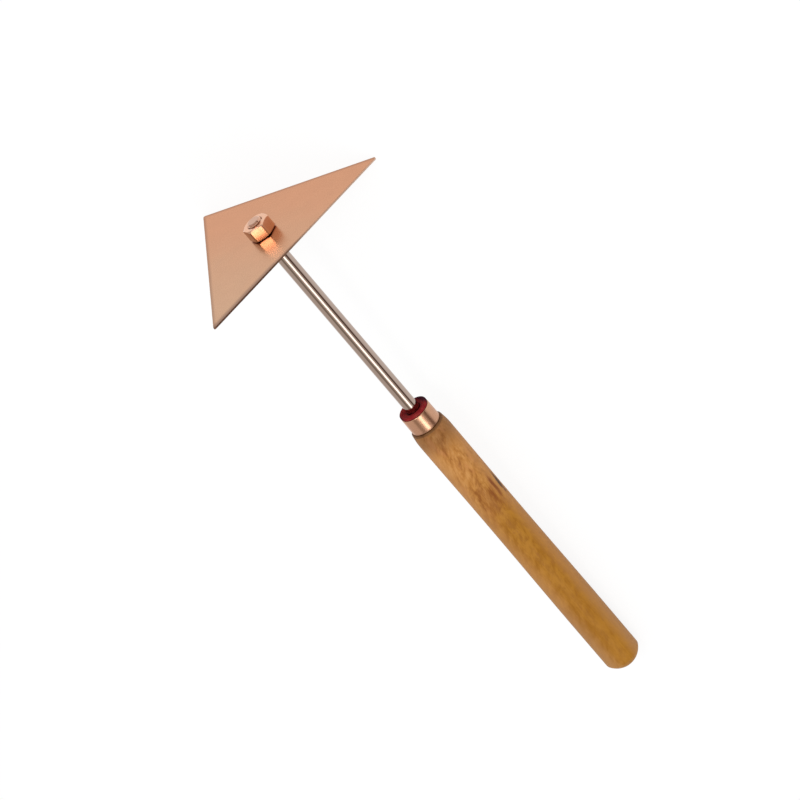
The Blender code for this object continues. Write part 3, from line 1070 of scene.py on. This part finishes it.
class SCRAPER_OT_studio(Operator):
    """White floor, two soft boxes, surroundings and the camera"""

    bl_idname = "scraper.studio"
    bl_label = "Studio"

    def heading(self, azimuth, elevation):
        """Direction at an azimuth and elevation in degrees."""
        flat = cos(radians(elevation))
        return Vector((
            flat * cos(radians(azimuth)), flat * sin(radians(azimuth)), sin(radians(elevation))
        ))

    def soft_box(self, name, place, radiance):
        azimuth, elevation, distance, width, height = place
        lamp = bpy.data.lights.new(name, "AREA")
        lamp.shape = "RECTANGLE"
        lamp.size = width
        lamp.size_y = height
        # The power at which the lamp's face has this radiance
        lamp.energy = 4 * width * height * radiance
        thing = placed(name, lamp)
        toward = self.heading(azimuth, elevation)
        thing.location = toward * distance
        thing.rotation_euler = toward.to_track_quat("Z", "Y").to_euler()
        thing.visible_camera = False

    def floor(self, look):
        bm = bmesh.new()
        bmesh.ops.create_grid(bm, x_segments=1, y_segments=1, size=6.0)
        mesh = mesh_of("floor", bm)
        thing = placed("floor", mesh)

        # A little below the tool's lowest points, so that no two faces lie in one plane
        thing.location = (0, 0, -0.0001)
        material = bpy.data.materials.new("white_paper")
        material.use_nodes = True
        shade = Shade(material.node_tree)
        spot = shade.node("ShaderNodeTexCoord", out="Object")
        x, y, _ = shade.split(spot)
        # Painted shadows on the floor as metal reflects it: grey under the shank and darker towards
        # the camera
        mirrored = shade.blend(shade.rise(x, 0.17, 0.20), look.grey, look.white)
        mirrored = shade.blend(shade.rise(y, -0.30, -0.05), look.dusk, mirrored)
        paper = shade.node("ShaderNodeBsdfDiffuse", None, {"Color": look.floor})
        faint = shade.node("ShaderNodeBsdfDiffuse", None, {"Color": look.faint})
        glow = shade.node("ShaderNodeEmission", None, {"Color": (1, 1, 1), "Strength": look.lift})
        lit = shade.node("ShaderNodeAddShader", None, {0: faint, 1: glow})
        camera, glossy, through = shade.rays("Camera", "Glossy", "Transmission")
        seen = shade.node("ShaderNodeMixShader", None, {0: camera, 1: paper, 2: lit})
        mirror = shade.node("ShaderNodeEmission", None, {"Color": mirrored})
        ways = {0: shade.maths("MAXIMUM", glossy, through), 1: seen, 2: mirror}
        mixed = shade.node("ShaderNodeMixShader", None, ways)
        shade.node("ShaderNodeOutputMaterial", None, {"Surface": mixed})
        mesh.materials.append(material)

    def surroundings(self, look):
        world = bpy.data.worlds.new("studio")
        bpy.context.scene.world = world
        world.use_nodes = True
        shade = Shade(world.node_tree)
        spot = shade.node("ShaderNodeTexCoord", out="Generated")
        x, y, z = shade.split(spot)
        low = self.heading(*DARK_BAND)
        band = shade.rise(x * low.x + y * low.y, 0.35, 0.85)
        band = band * (1 - shade.rise(shade.maths("ABSOLUTE", z), 0.04, 0.36))
        high = self.heading(*DIM_PATCH)
        patch = shade.rise(x * high.x + y * high.y + z * high.z, 0.955, 0.992)
        tone = shade.blend(band, look.sky, look.dusk)
        tone = shade.blend(patch, tone, look.dim)
        camera, glossy = shade.rays("Camera", "Glossy")
        even = shade.blend(glossy, (look.dome, look.dome, look.dome), tone)
        sky = shade.blend(camera, even, (1.0, 1.0, 1.0))
        light = shade.node("ShaderNodeBackground", None, {"Color": sky})
        shade.node("ShaderNodeOutputWorld", None, {"Surface": light})

    def camera(self, look):
        data = bpy.data.cameras.new("camera")
        data.lens = look.lens
        data.sensor_width = 36.0
        data.clip_start = 0.05
        data.clip_end = 50.0
        thing = placed("camera", data)
        right = Vector(CAMERA_RIGHT).normalized()
        back = Vector(CAMERA_BACK).normalized()
        turned = Matrix((right, back.cross(right), back)).transposed().to_4x4()
        thing.matrix_world = Matrix.Translation(CAMERA_SPOT) @ turned
        bpy.context.scene.camera = thing

    def execute(self, context):
        look = context.scene.scraper_studio
        self.floor(look)
        self.surroundings(look)
        self.soft_box("key_box", KEY_BOX, look.key)
        self.soft_box("side_box", SIDE_BOX, look.side)
        self.camera(look)
        context.scene.view_settings.view_transform = "Standard"
        return {"FINISHED"}


LOOKS = {
    "scraper_blade": BladeLook,
    "scraper_nuts": NutLook,
    "scraper_shank": ShankLook,
    "scraper_ferrule": FerruleLook,
    "scraper_bush": BushLook,
    "scraper_handle": HandleLook,
    "scraper_studio": StudioLook,
}

STEPS = (
    SCRAPER_OT_blade,
    SCRAPER_OT_nuts,
    SCRAPER_OT_shank,
    SCRAPER_OT_ferrule,
    SCRAPER_OT_bush,
    SCRAPER_OT_handle,
    SCRAPER_OT_studio,
)


class SCRAPER_PT_pieces(Panel):
    """Lists the steps that build the scraper, each with its sizes and colours"""

    bl_idname = "SCRAPER_PT_pieces"
    bl_label = "Triangular scraper"
    bl_space_type = "VIEW_3D"
    bl_region_type = "UI"
    bl_category = "Scraper"

    def draw(self, context):
        for step, name in zip(STEPS, LOOKS):
            box = self.layout.box()
            box.operator(step.bl_idname)
            look = getattr(context.scene, name)
            for field in look.__annotations__:
                box.prop(look, field)


def register():
    for name, group in LOOKS.items():
        bpy.utils.register_class(group)
        setattr(bpy.types.Scene, name, PointerProperty(type=group))
    for step in STEPS:
        bpy.utils.register_class(step)
    bpy.utils.register_class(SCRAPER_PT_pieces)


def unregister():
    bpy.utils.unregister_class(SCRAPER_PT_pieces)
    for step in reversed(STEPS):
        bpy.utils.unregister_class(step)
    for name, group in LOOKS.items():
        delattr(bpy.types.Scene, name)
        bpy.utils.unregister_class(group)


def main():
    register()
    for step in STEPS:
        family, name = step.bl_idname.split(".")
        getattr(getattr(bpy.ops, family), name)()


if __name__ == "__main__":
    main()
